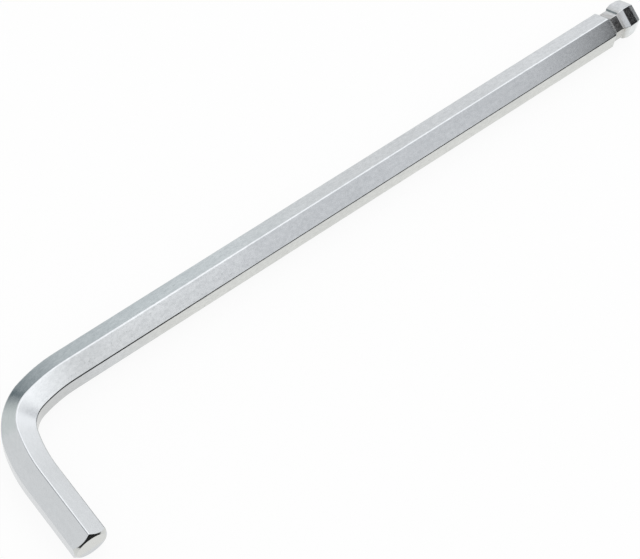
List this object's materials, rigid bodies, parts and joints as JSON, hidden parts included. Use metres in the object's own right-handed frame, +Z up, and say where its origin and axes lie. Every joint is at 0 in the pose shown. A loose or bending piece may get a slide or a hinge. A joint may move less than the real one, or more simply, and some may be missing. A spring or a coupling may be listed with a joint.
{
  "type": "hex key",
  "caption": "L-shaped hex key: a plated hexagonal steel bar with a bent, chamfered short arm and a ball end on the long arm.",
  "frame": {"origin": "middle of the overall length and width, at the height of the surface it lies on", "axes": "+X along the long arm towards the ball end, -Y along the short arm towards its end face, +Z up, square to the plane of the bend"},
  "size_m": [0.234, 0.05, 0.0114],
  "materials": {
    "plated_steel": "satin bright plating over drawn steel bar"
  },
  "bodies": {
    "root": {"hex_key": "plated_steel"}
  },
  "joints": []
}
